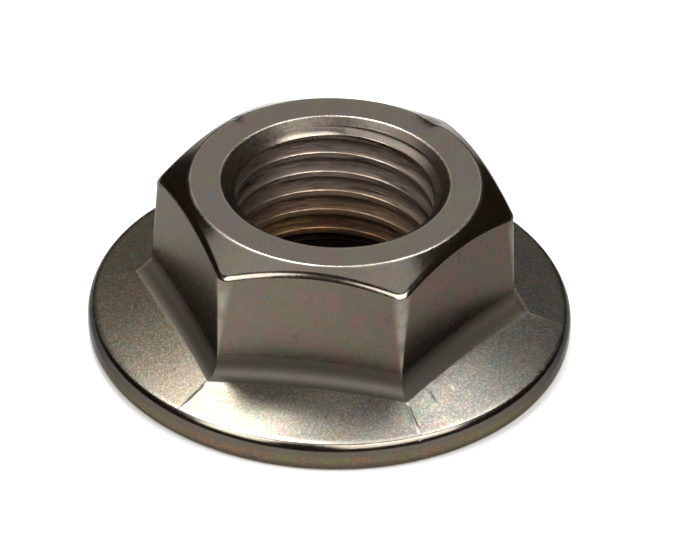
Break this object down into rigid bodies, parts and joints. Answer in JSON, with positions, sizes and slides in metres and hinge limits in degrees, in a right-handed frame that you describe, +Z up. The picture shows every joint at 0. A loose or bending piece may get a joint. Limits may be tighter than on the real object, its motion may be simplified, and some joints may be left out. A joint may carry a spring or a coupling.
{
  "type": "serrated flange nut",
  "caption": "Hexagon nut forged in one piece with a round sloping flange and ratchet serrations under it, for a fine right-hand thread.",
  "frame": {"origin": "centre of the bearing face under the flange, on the thread's axis", "axes": "+Z up the thread's axis from the bearing face to the top face, +X square to one flat"},
  "size_m": [0.0262, 0.0262, 0.0098],
  "materials": {
    "plated_steel": "dull dark zinc plating with a faint passivation tint"
  },
  "bodies": {
    "root": {"flange_nut": "plated_steel"}
  },
  "joints": []
}
